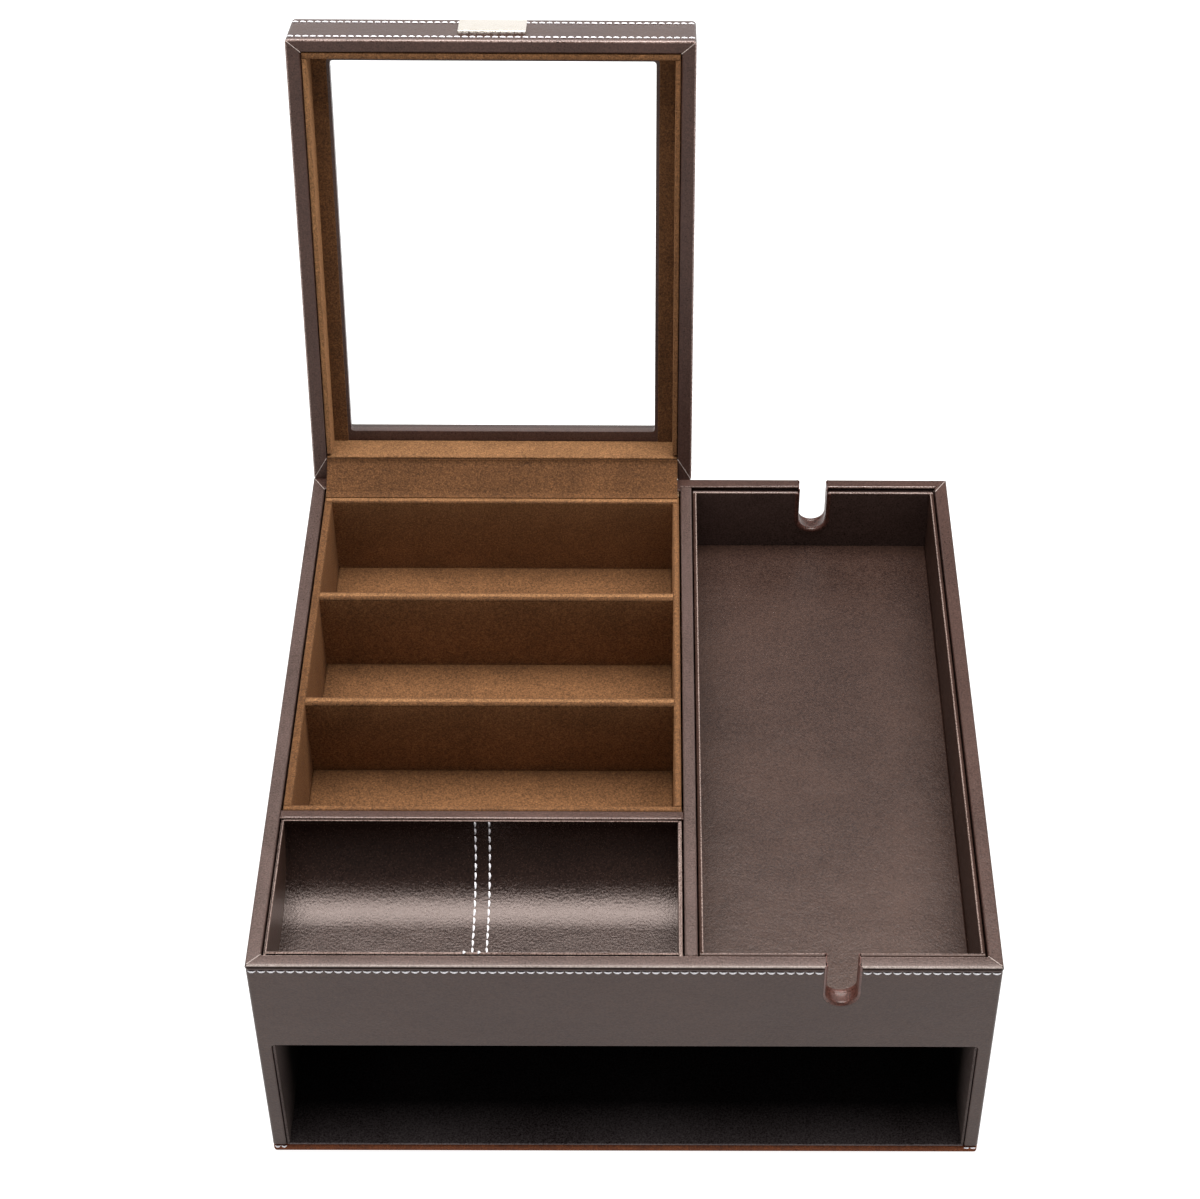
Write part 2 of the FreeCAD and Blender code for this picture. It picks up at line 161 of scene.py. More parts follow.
def addCamera():
    data = bpy.data.cameras.new("studioCamera")
    data.sensor_width = studio["sensor"]
    data.lens = studio["lens"]
    data.shift_x = studio["shift"]
    data.clip_start = studio["nearest"]
    camera = newObject("studioCamera", data)
    turn = Matrix.Rotation(-math.radians(studio["yaw"]), 3, "Z")
    tilt = Matrix.Rotation(math.radians(90 - studio["pitch"]), 3, "X")
    roll = Matrix.Rotation(math.radians(studio["roll"]), 3, "Z")
    camera.rotation_euler = (turn @ tilt @ roll).to_euler()
    camera.location = studio["place"]
    bpy.context.scene.camera = camera


def addStudio():
    world = bpy.data.worlds.new("paleStudio")
    world.use_nodes = True
    tree = world.node_tree
    where = tree.nodes.new("ShaderNodeTexCoord")
    split = addNode(tree, "ShaderNodeSeparateXYZ", {0: where.outputs["Generated"]})
    start, end, horizon, above = [spread(tree, split.outputs["Y"], *studio["turn"], *studio[key])
                                  for key in ("skyStart", "skyEnd", "horizon", "sky")]
    aside = maths(tree, "ABSOLUTE", split.outputs["X"], 0)
    above = spread(tree, aside, studio["sideStart"], studio["sideEnd"], above, studio["sideSky"])
    strength = spread(tree, split.outputs["Z"], start, end, horizon, above)
    setInputs(tree, tree.nodes["Background"], {"Color": white, "Strength": strength})
    bpy.context.scene.world = world
    bpy.context.scene.view_settings.view_transform = "Standard"
    data = bpy.data.lights.new("overheadSoftbox", "AREA")
    data.shape = "RECTANGLE"
    data.size, data.size_y = studio["softbox"]
    data.energy = studio["softboxPower"]
    light = newObject("overheadSoftbox", data)
    light.location = studio["softboxPlace"]
    light.visible_camera = False
    bm = bmesh.new()
    bmesh.ops.create_grid(bm, x_segments=1, y_segments=1, size=studio["floorHalf"])
    mesh = bpy.data.meshes.new("studioFloor")
    bm.to_mesh(mesh)
    bm.free()
    floor = newObject("studioFloor", mesh)
    paint, tree, shader = newMaterial("paleFloor")
    setInputs(tree, shader, {"Base Color": (*[studio["floorTone"]] * 3, 1), "Roughness": 0.9,
                             "Emission Color": white, "Emission Strength": studio["floorGlow"]})
    mesh.materials.append(paint)


addCamera()
addStudio()
print("studio ready")

# finishes


def srgb(red, green, blue):
    def linear(value):
        value /= 255
        return value / 12.92 if value <= 0.04045 else ((value + 0.055) / 1.055) ** 2.4
    return (linear(red), linear(green), linear(blue), 1)


def startGroup(name, inputs, outputs):
    tree = bpy.data.node_groups.new(name, "ShaderNodeTree")
    for label, value in inputs.items():
        kind = "NodeSocketColor" if isinstance(value, tuple) else "NodeSocketFloat"
        tree.interface.new_socket(name=label, in_out="INPUT", socket_type=kind).default_value = value
    for label, kind in outputs.items():
        tree.interface.new_socket(name=label, in_out="OUTPUT", socket_type=kind)
    return tree, tree.nodes.new("NodeGroupInput"), tree.nodes.new("NodeGroupOutput")


def leatherSkinGroup():
    inputs = {"Deep": srgb(40, 28, 24), "Worn": srgb(56, 41, 36), "Grain Scale": 950.0, "Cloud Scale": 14.0,
              "Smooth": 0.4, "Rough": 0.5}
    outputs = {"Color": "NodeSocketColor", "Roughness": "NodeSocketFloat", "Grain": "NodeSocketFloat",
               "Hand": "NodeSocketFloat"}
    tree, given, result = startGroup("leatherSkin", inputs, outputs)
    where = ownPlace(tree)
    pebble = addNode(tree, "ShaderNodeTexVoronoi", {"Vector": where, "Scale": given.outputs["Grain Scale"]},
                     feature="SMOOTH_F1").outputs["Distance"]
    fine = noise(tree, where, 3400.0, 2.0)
    cloud = noise(tree, where, given.outputs["Cloud Scale"], 5.0, 0.6, 0.4)
    crease = spread(tree, pebble, 0.25, 0.75)
    pore = noise(tree, where, 1300.0, 2.0, 0.6)
    worn = maths(tree, "MULTIPLY", spread(tree, cloud, 0.35, 0.7), spread(tree, crease, 0.0, 1.0, 1.0, 0.6))
    color = blendColors(tree, maths(tree, "ADD", worn, spread(tree, pore, 0.3, 0.7, -1.0, 1.0)),
                        given.outputs["Deep"], given.outputs["Worn"])
    sheen = weighed(tree, (pore, 0.7), (cloud, 0.3))
    gloss = spread(tree, sheen, 0.3, 0.7, given.outputs["Smooth"], given.outputs["Rough"])
    grain = weighed(tree, (pebble, -0.7), (fine, 0.6))
    setInputs(tree, result, {"Color": color, "Roughness": gloss, "Grain": grain,
                             "Hand": noise(tree, where, 45.0, 3.0, 0.5)})
    return tree


def suedeNapGroup():
    inputs = {"Dark": srgb(70, 42, 20), "Light": srgb(128, 86, 52), "Stroke Scale": 420.0,
              "Patch Scale": 30.0}
    outputs = {"Color": "NodeSocketColor", "Roughness": "NodeSocketFloat", "Nap": "NodeSocketFloat"}
    tree, given, result = startGroup("suedeNap", inputs, outputs)
    where = ownPlace(tree)
    stroke = noise(tree, where, given.outputs["Stroke Scale"], 3.0, 0.6, 0.6)
    patch = noise(tree, where, given.outputs["Patch Scale"], 5.0, 0.6, 1.2)
    fibre = noise(tree, where, 1400.0, 2.0, 0.6)
    tone = spread(tree, weighed(tree, (stroke, 0.7), (patch, 0.3)), 0.34, 0.66)
    color = blendColors(tree, tone, given.outputs["Dark"], given.outputs["Light"])
    speckle = grey(tree, spread(tree, fibre, 0.3, 0.7, 0.54, 1.5))
    setInputs(tree, result, {"Color": blendColors(tree, 1.0, color, speckle, "MULTIPLY"),
                             "Roughness": spread(tree, stroke, 0.3, 0.7, 0.78, 1.0),
                             "Nap": weighed(tree, (stroke, 0.7), (fibre, 0.4))})
    return tree


def metalWearGroup():
    inputs = {"Base": srgb(200, 198, 194), "Dull": srgb(150, 146, 140), "Smooth": 0.12, "Rough": 0.3}
    outputs = {"Color": "NodeSocketColor", "Roughness": "NodeSocketFloat", "Scratch": "NodeSocketFloat"}
    tree, given, result = startGroup("metalWear", inputs, outputs)
    where = ownPlace(tree)
    streak = addNode(tree, "ShaderNodeMapping", {"Vector": where, "Scale": (60.0, 2400.0, 2400.0)}).outputs[0]
    line = noise(tree, streak, 1.0, 3.0, 0.6)
    smudge = noise(tree, where, 160.0, 4.0, 0.6)
    mask = spread(tree, smudge, 0.45, 0.75)
    color = blendColors(tree, mask, given.outputs["Base"], given.outputs["Dull"])
    marks = weighed(tree, (line, 0.5), (smudge, 0.5))
    gloss = spread(tree, marks, 0.3, 0.7, given.outputs["Smooth"], given.outputs["Rough"])
    setInputs(tree, result, {"Color": color, "Roughness": gloss, "Scratch": line})
    return tree


leatherSkin = leatherSkinGroup()
suedeNap = suedeNapGroup()
metalWear = metalWearGroup()


def startMaterial(name, group, **inputs):
    material, tree, shader = newMaterial(name)
    node = tree.nodes.new("ShaderNodeGroup")
    node.node_tree = group
    setInputs(tree, node, inputs)
    setInputs(tree, shader, {"Base Color": node.outputs["Color"], "Roughness": node.outputs["Roughness"]})
    return material, tree, shader, node


def bumpFrom(tree, shader, layers):
    previous = None
    for height, depth, strength in layers:
        values = {"Height": height, "Distance": depth, "Strength": strength}
        if previous is not None:
            values["Normal"] = previous
        previous = addNode(tree, "ShaderNodeBump", values).outputs["Normal"]
    tree.links.new(previous, shader.inputs["Normal"])


def leather(name, deep, worn, smooth=0.36, rough=0.5, grainScale=950.0, grainDepth=0.06, hand=0.5,
            coat=0.0, specular=0.42, tint=(1.0, 0.84, 0.78, 1)):
    values = {"Deep": srgb(*deep), "Worn": srgb(*worn), "Smooth": smooth, "Rough": rough,
              "Grain Scale": grainScale}
    material, tree, shader, node = startMaterial(name, leatherSkin, **values)
    setInputs(tree, shader, {"Coat Weight": coat, "Coat Roughness": 0.2, "Specular IOR Level": specular,
                             "Specular Tint": tint})
    bumpFrom(tree, shader, [(node.outputs["Hand"], hand * mm, 1.0),
                            (node.outputs["Grain"], grainDepth * mm, 1.0)])
    return material


def suede(name, dark, light, strokeScale=420.0, sheen=0.5, depth=0.25):
    values = {"Dark": srgb(*dark), "Light": srgb(*light), "Stroke Scale": strokeScale}
    material, tree, shader, node = startMaterial(name, suedeNap, **values)
    setInputs(tree, shader, {"Sheen Weight": sheen, "Sheen Roughness": 0.45, "Sheen Tint": srgb(*light),
                             "Specular IOR Level": 0.15})
    bumpFrom(tree, shader, [(node.outputs["Nap"], depth * mm, 1.0)])
    return material


def metal(name, base, dull, smooth, rough):
    values = {"Base": srgb(*base), "Dull": srgb(*dull), "Smooth": smooth, "Rough": rough}
    material, tree, shader, node = startMaterial(name, metalWear, **values)
    shader.inputs["Metallic"].default_value = 1.0
    bumpFrom(tree, shader, [(node.outputs["Scratch"], 0.01 * mm, 0.6)])
    return material


caseLeather = leather("caseLeather", (50, 34, 30), (61, 44, 38), 0.34, 0.46, 950.0, 0.1)
edgeLeather = leather("edgeLeather", (57, 38, 32), (72, 50, 43), 0.26, 0.38, 1100.0, 0.07, 0.3)
trayLeather = leather("trayLeather", (54, 37, 30), (66, 46, 38), 0.28, 0.38, 1000.0, 0.08, 0.4)
# painted shade: a darker, glossier copy of the tray leather; its darkness stands in for the shade on the
# scoop's upper slope
shadedScoopLeather = leather("shadedScoopLeather", (26, 15, 12), (38, 24, 19),
                       0.13, 0.32, 900.0, 0.13, 0.3, specular=0.68, tint=(1.0, 0.81, 0.74, 1))
liningLeather = leather("liningLeather", (50, 34, 28), (62, 43, 36),
                        0.4, 0.5, 1000.0, 0.08, 0.4, specular=0.08)
# painted light: a lighter copy of the case leather for the front and left rims, the long divider and the rear
# tray wall
paleLitLeather = leather("paleLitLeather", (66, 51, 46), (84, 66, 61), 0.26, 0.38, 1100.0, 0.07, 0.3)
floorLeather = leather("floorLeather", (50, 34, 28), (63, 44, 36), 0.28, 0.38, 1000.0, 0.1, 0.4)
# painted shade: a dark, dull copy of the case leather for the lid shell's top edge bevels, standing in for
# the shade along that edge
foldShadeLeather = leather("foldShadeLeather", (34, 21, 18), (46, 30, 26),
                      0.6, 0.75, 1100.0, 0.04, 0.3, specular=0.08)
# painted highlight: glossy edge leather whose pale colour stands in for the highlight on rounded edges
burnishedHighlightLeather = leather("burnishedHighlightLeather", (104, 82, 74), (146, 123, 115),
                           0.14, 0.22, 1100.0, 0.03, 0.2, 0.9)
# painted highlight: pale glossy leather for lining and scoop lips, standing in for their highlight lines
lipHighlightLeather = leather("lipHighlightLeather", (112, 92, 84), (156, 134, 125), 0.18, 0.28, 1100.0, 0.03, 0.2, 0.7)
# painted shade: dark dull leather standing in for the shadow in the groove under the rim bands
paintedGrooveShade = leather("paintedGrooveShade", (30, 16, 12), (42, 25, 20), 0.5, 0.7, 1100.0, 0.03, 0.2, specular=0.1)
# painted highlight: near-white leather for the front rim's outer glint and for the mitre beads, the leather's
# cut edges brightened to stand in for their glints
glintSeamLeather = leather("glintSeamLeather", (158, 144, 137), (186, 172, 165), 0.3, 0.4, 1100.0, 0.04, 0.3)
trimLeather = leather("trimLeather", (70, 42, 35), (98, 62, 54), 0.3, 0.4, 700.0, 0.03, 0.3, 0.2)
cubbyLining = leather("cubbyLining", (5, 4, 4), (11, 9, 9), 0.7, 0.85, 1300.0, 0.06, 0.3, specular=0.0)
cubbyFelt = leather("cubbyFelt", (82, 73, 73), (110, 101, 101), 0.7, 0.85, 1300.0, 0.1, 0.3, specular=0.02)
cubbyCheek = leather("cubbyCheek", (62, 52, 49), (84, 73, 70), 0.5, 0.65, 1000.0, 0.08, 0.3, specular=0.1)
boxSuede = suede("boxSuede", (85, 57, 35), (123, 85, 54), 820.0, 0.8, 0.5)
# painted shade: a darker copy of the box suede for the rolled top edges of slot walls and dividers, dimming
# their edge highlights
shadedRollSuede = suede("shadedRollSuede", (77, 51, 31), (112, 77, 49), 820.0, 0.6, 0.5)
# painted light: a lighter copy of the box suede for the rear slot wall, slot divider faces and the lid's left
# and rear linings
litWallSuede = suede("litWallSuede", (102, 71, 45), (145, 104, 69), 820.0, 0.8, 0.5)
# painted shade: a darker copy of the box suede for the hinge strip, the left slot wall and the window flange
shadedStripSuede = suede("shadedStripSuede", (70, 45, 26), (108, 73, 45), 820.0, 0.6, 0.5)
baseSuede = suede("baseSuede", (82, 42, 24), (118, 66, 40), 560.0)
claspNickel = metal("claspNickel", (221, 214, 204), (216, 208, 196), 0.16, 0.3)
hingeMetal = metal("hingeMetal", (186, 176, 150), (140, 130, 108), 0.22, 0.38)
boardCore = leather("boardCore", (92, 68, 46), (128, 100, 72), 0.7, 0.9, 1500.0, 0.08, 0.2)


# painted shade: darkens a material's colour further into the cubby
def paintShadeInward(material, near, far, share):    # full tone at the front, down to its share further in
    tree = material.node_tree
    shader = tree.nodes["Principled BSDF"]
    color = shader.inputs["Base Color"].links[0].from_socket
    depth = addNode(tree, "ShaderNodeSeparateXYZ", {0: ownPlace(tree)}).outputs["Y"]
    tone = grey(tree, spread(tree, depth, near, far, 1.0, share))
    tree.links.new(blendColors(tree, 1.0, color, tone, "MULTIPLY"), shader.inputs["Base Color"])


# painted shade: the cubby floor and side linings darken with depth, standing in for the shade inside the
# recess
for material, near, far, share in ((cubbyFelt, 2, 24, 0.1), (cubbyCheek, 4, 30, 0.04)):
    paintShadeInward(material, cadLow.y + near * mm, cadLow.y + far * mm, share)


def threadMaterial():
    material, tree, shader = newMaterial("stitchThread")
    where = ownPlace(tree)
    slanted = addNode(tree, "ShaderNodeMapping", {"Vector": where, "Rotation": (0.6, 0.6, 0.7)}).outputs[0]
    twist = addNode(tree, "ShaderNodeTexWave", {"Vector": slanted, "Scale": 320.0, "Distortion": 1.0})
    ply = twist.outputs["Fac"]
    tone = spread(tree, maths(tree, "MULTIPLY", ply, noise(tree, where, 1500.0, 2.0)), 0.0, 0.6)
    color = blendColors(tree, tone, srgb(240, 234, 240), srgb(255, 254, 255))
    setInputs(tree, shader, {"Base Color": color, "Roughness": 0.75, "Sheen Weight": 0.3})
    bumpFrom(tree, shader, [(ply, 0.12 * mm, 1.0)])
    return material


def glassMaterial():
    material, tree, shader = newMaterial("windowGlass")
    smear = spread(tree, noise(tree, ownPlace(tree), 30.0, 4.0, 0.6), 0.4, 0.7, 0.0, 0.03)
    shadow = addNode(tree, "ShaderNodeLightPath").outputs["Is Shadow Ray"]
    setInputs(tree, shader, {"Base Color": white, "Transmission Weight": 1.0, "IOR": 1.45, "Roughness": smear,
                             "Alpha": maths(tree, "SUBTRACT", 1.0, shadow)})
    return material


stitchThread = threadMaterial()
windowGlass = glassMaterial()
print("finishes ready")

# shared making steps


def cadCopy(*names, closed=False):
    bm = bmesh.new()
    for name in names:
        bm.from_mesh(nodeObjects[name].data)
    bmesh.ops.remove_doubles(bm, verts=bm.verts, dist=0.01 * mm)
    if closed:
        bmesh.ops.transform(bm, matrix=toClosed, verts=bm.verts)
    bmesh.ops.dissolve_limit(bm, angle_limit=math.radians(1), verts=bm.verts, edges=bm.edges)
    return bm


def vertsIn(parts):
    return [part for part in parts if isinstance(part, bmesh.types.BMVert)]


def scored(bm, place, way):    # new edges where a plane crosses the piece
    bmesh.ops.bisect_plane(bm, geom=bm.verts[:] + bm.edges[:] + bm.faces[:], dist=0.01 * mm,
                           plane_co=place, plane_no=way)


def span(bm):
    low = Vector(min(v.co[i] for v in bm.verts) for i in range(3))
    high = Vector(max(v.co[i] for v in bm.verts) for i in range(3))
    return low, high


def board(low, high):
    bm = bmesh.new()
    size = Vector(high) - Vector(low)
    place = Matrix.Translation((Vector(low) + Vector(high)) / 2) @ Matrix.Diagonal((*size, 1))
    bmesh.ops.create_cube(bm, size=1, matrix=place)
    return bm


def rounded(bm, radius, segments=3, angle=35, pick=None, finish=0):
    edges = [e for e in bm.edges if len(e.link_faces) == 2 and e.calc_face_angle(0) > math.radians(angle)]
    if pick:
        edges = [e for e in edges if pick(e)]
    lips = bmesh.ops.bevel(bm, geom=edges, offset=radius, offset_type="OFFSET", segments=segments,
                           profile=0.5, affect="EDGES", clamp_overlap=False, material=-1)["faces"]
    for face in lips:
        face.material_index = finish
    return bm


def thicken(bm, wall):
    bmesh.ops.solidify(bm, geom=bm.faces[:], thickness=wall)
    bmesh.ops.recalc_face_normals(bm, faces=bm.faces)
    return bm


def faceUp(bm, key):    # the face with the lowest key looks up
    bmesh.ops.recalc_face_normals(bm, faces=bm.faces)
    if min(bm.faces, key=key).normal.z < 0:
        bmesh.ops.reverse_faces(bm, faces=bm.faces)


def sheetAcross(bm, line, width):    # a line of vertices drawn out along x
    for pair in zip(line, line[1:]):
        if not bm.edges.get(pair):
            bm.edges.new(pair)
    grown = bmesh.ops.extrude_edge_only(bm, edges=bm.edges[:])
    bmesh.ops.translate(bm, vec=(width, 0, 0), verts=vertsIn(grown["geom"]))
    faceUp(bm, lambda f: f.calc_center_median().z)


def middle(edge):
    return (edge.verts[0].co + edge.verts[1].co) / 2


def along(edge):
    return (edge.verts[1].co - edge.verts[0].co).normalized()


def upright(edge):
    return abs(along(edge).z) > 0.9


def flat(edge):
    return abs(along(edge).z) < 0.5


def makePiece(name, bm, material, body, nodes=(), closed=False, smooth=40, weighted=True):
    if closed:
        bmesh.ops.transform(bm, matrix=toOpen, verts=bm.verts)
    mesh = bpy.data.meshes.new(name)
    bm.to_mesh(mesh)
    bm.free()
    piece = newObject(name, mesh)
    for one in material if isinstance(material, list) else [material]:
        mesh.materials.append(one)
    mesh.shade_smooth()
    mesh.set_sharp_from_angle(angle=math.radians(smooth))
    if weighted:
        normals = piece.modifiers.new("evenShading", "WEIGHTED_NORMAL")
        normals.keep_sharp = True
    if isinstance(body, str):
        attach(piece, body)
    else:
        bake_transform(piece)
    if nodes:
        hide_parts(*nodes)
    return piece


def carve(bm, cutters):
    things = []
    for shape in [bm, *cutters]:
        mesh = bpy.data.meshes.new("work")
        shape.to_mesh(mesh)
        shape.free()
        things.append(newObject("work", mesh))
    for cutter in things[1:]:
        cut = things[0].modifiers.new("cut", "BOOLEAN")
        cut.operation, cut.solver, cut.object = "DIFFERENCE", "EXACT", cutter
    bpy.context.view_layer.update()
    done = things[0].evaluated_get(bpy.context.evaluated_depsgraph_get())
    result = bmesh.new()
    result.from_mesh(done.to_mesh())
    done.to_mesh_clear()
    for thing in things:
        mesh = thing.data
        bpy.data.objects.remove(thing)
        bpy.data.meshes.remove(mesh)
    bmesh.ops.remove_doubles(result, verts=result.verts, dist=0.01 * mm)
    bmesh.ops.dissolve_limit(result, angle_limit=math.radians(1), verts=result.verts, edges=result.edges)
    return result


# stitching

stitch = {"share": 0.88, "width": 1.12, "height": 0.66, "bulge": 0.36, "sink": 0.08, "arc": 0.36}


def stitchTemplate(length, size, taper):
    bm = bmesh.new()
    bmesh.ops.create_uvsphere(bm, u_segments=6, v_segments=5, radius=0.5,
                              matrix=Matrix.Rotation(math.pi / 2, 4, "Y"))
    for vert in bm.verts:
        t = vert.co.x * 2
        fuller = (1.0 if abs(t) < 0.9 else 0.6) * (1 - taper * t)
        vert.co = Vector((vert.co.x * length * mm,
                          (vert.co.y * stitch["width"] * fuller + stitch["arc"] * (t * t - 0.4)) * size * mm,
                          (vert.co.z * stitch["height"] * fuller + stitch["bulge"] * (1 - t * t)
                           - stitch["sink"]) * size * mm))
    mesh = bpy.data.meshes.new("stitchTemplate")
    bm.to_mesh(mesh)
    bm.free()
    return mesh


def stitchRun(bm, points, outward, pitch, size=1.0, taper=0.0):
    template = stitchTemplate(pitch * stitch["share"], size, taper)
    for place, normal, direction in zip(points, outward, directionsOf(points)):
        side = normal.cross(direction)
        sway = Matrix.Rotation(random.uniform(-0.05, 0.05), 4, "Z")
        turn = Matrix((direction, side, normal)).transposed().to_4x4()
        start = len(bm.verts)
        bm.from_mesh(template)
        bm.verts.ensure_lookup_table()
        fresh = bm.verts[start:]
        bmesh.ops.transform(bm, matrix=Matrix.Translation(place) @ turn @ sway, verts=fresh)
    bpy.data.meshes.remove(template)


def directionsOf(points):
    if len(points) == 1:
        return [Vector((0, 1, 0))]
    found = []
    for index in range(len(points)):
        before = points[max(0, index - 1)]
        after = points[min(len(points) - 1, index + 1)]
        found.append((after - before).normalized())
    return found


def walked(points, pitch):
    lengths = [0.0]
    for first, second in zip(points, points[1:]):
        lengths.append(lengths[-1] + (second - first).length)
    count = round(lengths[-1] / pitch)
    places, normals = [], []
    for index in range(count):
        reach = lengths[-1] * (index + 0.5) / count
        step = next(i for i in range(len(points) - 1) if lengths[i + 1] >= reach)
        way = (points[step + 1] - points[step]).normalized()
        places.append(points[step] + way * (reach - lengths[step]))
        normals.append(Vector((0, -way.z, way.y)))
    return places, normals


def straightRun(bm, start, end, normal, pitch):
    start, end, normal = Vector(start), Vector(end), Vector(normal)
    count = max(1, round((end - start).length / (pitch * mm)))
    places = [start.lerp(end, (i + 0.5) / count) for i in range(count)]
    stitchRun(bm, places, [normal] * len(places), (end - start).length / count / mm)


# case walls

walls = {
    "corner": 1.3, "edge": 0.9, "topEdge": 0.45, "mouthCorner": 1.6, "tuck": 0.3, "upper": 120,
    "seamHeight": 129.9, "seamHalf": 0.9, "seamDepth": 0.3, "seamSide": 1.5, "seamEnd": 1.2,
}
frontTrimLow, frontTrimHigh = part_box("front_notch_trim")
rearTrimLow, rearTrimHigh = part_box("rear_notch_trim")
notchCentre = (frontTrimLow.x + frontTrimHigh.x) / 2
notchRadius = (frontTrimHigh.x - frontTrimLow.x) / 2
notchAxis = frontTrimLow.z + notchRadius
leftLow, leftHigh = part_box("left_side_panel")
rightLow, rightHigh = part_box("right_side_panel")
apronLow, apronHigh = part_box("front_apron")
rearLow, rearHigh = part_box("rear_panel")


def notchArc(bm, radius, y):
    start = bm.verts.new((notchCentre - radius, y, notchAxis))
    spun = bmesh.ops.spin(bm, geom=[start], cent=(notchCentre, y, notchAxis), axis=(0, 1, 0),
                          angle=-math.pi, steps=24)
    return [start, vertsIn(spun["geom_last"])[0]]


def notchCutter(low, high):
    bm = bmesh.new()
    ends = notchArc(bm, notchRadius, low.y - beyond)
    up = bmesh.ops.extrude_vert_indiv(bm, verts=ends)["verts"]
    for vert in up:
        vert.co.z = farUp
    bm.edges.new(up)
    face = bmesh.ops.contextual_create(bm, geom=bm.edges[:])["faces"]
    grown = bmesh.ops.extrude_face_region(bm, geom=face)
    bmesh.ops.translate(bm, vec=(0, high.y - low.y + 2 * beyond, 0), verts=vertsIn(grown["geom"]))
    bmesh.ops.recalc_face_normals(bm, faces=bm.faces)
    return bm


def makeWalls():
    top = rightHigh.z + walls["tuck"] * mm
    outer = board(leftLow, (rightHigh.x, rightHigh.y, top))
    inside = board((leftHigh.x, apronHigh.y, leftLow.z - beyond),
                   (rightLow.x, rearLow.y, leftHigh.z + beyond))
    mouth = board((leftHigh.x, apronLow.y - beyond, leftLow.z - 2 * beyond),
                  (rightLow.x, apronHigh.y + 2 * beyond, apronLow.z))
    rounded(mouth, walls["mouthCorner"] * mm, 4, pick=lambda e: abs(along(e).y) > 0.9 and middle(e).z > 0)
    bm = carve(outer, [inside, mouth, notchCutter(apronLow, apronHigh), notchCutter(rearLow, rearHigh)])
    rounded(bm, walls["corner"] * mm, 4,
            pick=lambda e: upright(e) and abs(abs(middle(e).x) - rightHigh.x) < nearly)
    rounded(bm, walls["topEdge"] * mm, 3, 50, pick=lambda e: middle(e).z > top - nearly)
    inner = lambda e: abs(along(e).z) < 0.95 or abs(middle(e).x) < rightLow.x + nearly
    rounded(bm, walls["edge"] * mm, 3, 50, pick=lambda e: middle(e).z < top - mm and inner(e))
    seam, half = walls["seamHeight"] * mm, walls["seamHalf"] * mm
    for height in (seam - half, seam, seam + half):
        scored(bm, (0, 0, height), (0, 0, 1))
    side, end = rightHigh.x - walls["seamSide"] * mm, rearHigh.y - walls["seamEnd"] * mm
    for vert in bm.verts:
        if abs(vert.co.z - seam) < nearly / 2:
            inward = Vector((-vert.co.x if abs(vert.co.x) > side else 0,
                             -vert.co.y if abs(vert.co.y) > end else 0, 0))
            vert.co += inward.normalized() * walls["seamDepth"] * mm
    makePiece("wallCover", bm, caseLeather, "case",
              ["left_side_panel", "right_side_panel", "front_apron", "rear_panel"])


makeWalls()
print("walls ready")


# rim bands, base and case stitching

# paint is the height of the painted shade band along each rim's underside
rim = {
    "under": 1.0, "outer": 0.55, "inner": 0.7, "rear": 0.05, "mitre": 0.3, "short": 20.0,
    "crown": 1.3, "fall": 0.3, "paint": 1.3,
}


def crowned(bm, shoulder, fall, level, longAxis):
    low, high = span(bm)
    across = 1 - longAxis
    way = Vector((0, 1, 0)) if across else Vector((1, 0, 0))
    for place in (low + way * shoulder, high - way * shoulder):
        scored(bm, place, way)
    for vert in bm.verts:
        outside = min(vert.co[across] - low[across], high[across] - vert.co[across])
        if vert.co.z > level - nearly and outside < nearly and vert.co.y < rearHigh.y - nearly:
            vert.co.z -= fall


def makeRims():
    for name in ("left_rim", "right_rim", "front_rim", "rear_rim"):
        bm = cadCopy(name)
        low, high = span(bm)
        longAxis = 0 if high.x - low.x > high.y - low.y else 1
        crowned(bm, rim["crown"] * mm, rim["fall"] * mm, high.z, longAxis)
        long = lambda e: abs(along(e)[longAxis]) > 0.99 and e.calc_length() > rim["short"] * mm
        atTop = lambda e: long(e) and middle(e).z > high.z - rim["fall"] * mm - nearly
        atRear = lambda e: middle(e).y > rearHigh.y - nearly
        atFace = lambda e: abs(middle(e).x) > rightHigh.x - nearly or middle(e).y < apronLow.y + nearly
        rounded(bm, rim["under"] * mm, 4, 60, pick=lambda e: long(e) and middle(e).z < low.z + nearly)
        # painted highlight: the inner top edges of the front and rear rims take the pale edge finish
        glintFinish = 1 if longAxis == 0 else 0
        rounded(bm, rim["inner"] * mm, 4, 60, pick=lambda e: atTop(e) and not atFace(e) and not atRear(e),
                finish=glintFinish)
        # painted highlight: the front rim's outer edge takes the near-white glint finish
        rounded(bm, rim["outer"] * mm, 4, 60, pick=lambda e: atTop(e) and atFace(e),
                finish=3 if name == "front_rim" else glintFinish)
        rounded(bm, rim["rear"] * mm, 2, 60, pick=lambda e: atTop(e) and atRear(e))
        rounded(bm, rim["mitre"] * mm, 2, 50,
                pick=lambda e: abs(along(e).y) > 0.3 and abs(along(e).x) > 0.3)
        # painted shade: faces below this level take the dark groove finish
        level = low.z + rim["paint"] * mm
        scored(bm, (0, 0, level), (0, 0, 1))
        for face in bm.faces:
            if face.calc_center_median().z < level:
                face.material_index = 2
        # painted light: the front and left rims take the lighter copy of the leather
        skin = paleLitLeather if name in ("front_rim", "left_rim") else edgeLeather
        makePiece(name.split("_")[0] + "RimBand", bm, [skin, burnishedHighlightLeather, paintedGrooveShade, glintSeamLeather],
                  "case", [name])


makeRims()
print("rims ready")


baseEdge = 1.5


def makeBase():
    low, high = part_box("base_cover")[0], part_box("base_board")[1]
    bm = rounded(board(low, high), baseEdge * mm, 4)
    makePiece("suedeBase", bm, baseSuede, "case", ["base_board", "base_cover"])


makeBase()


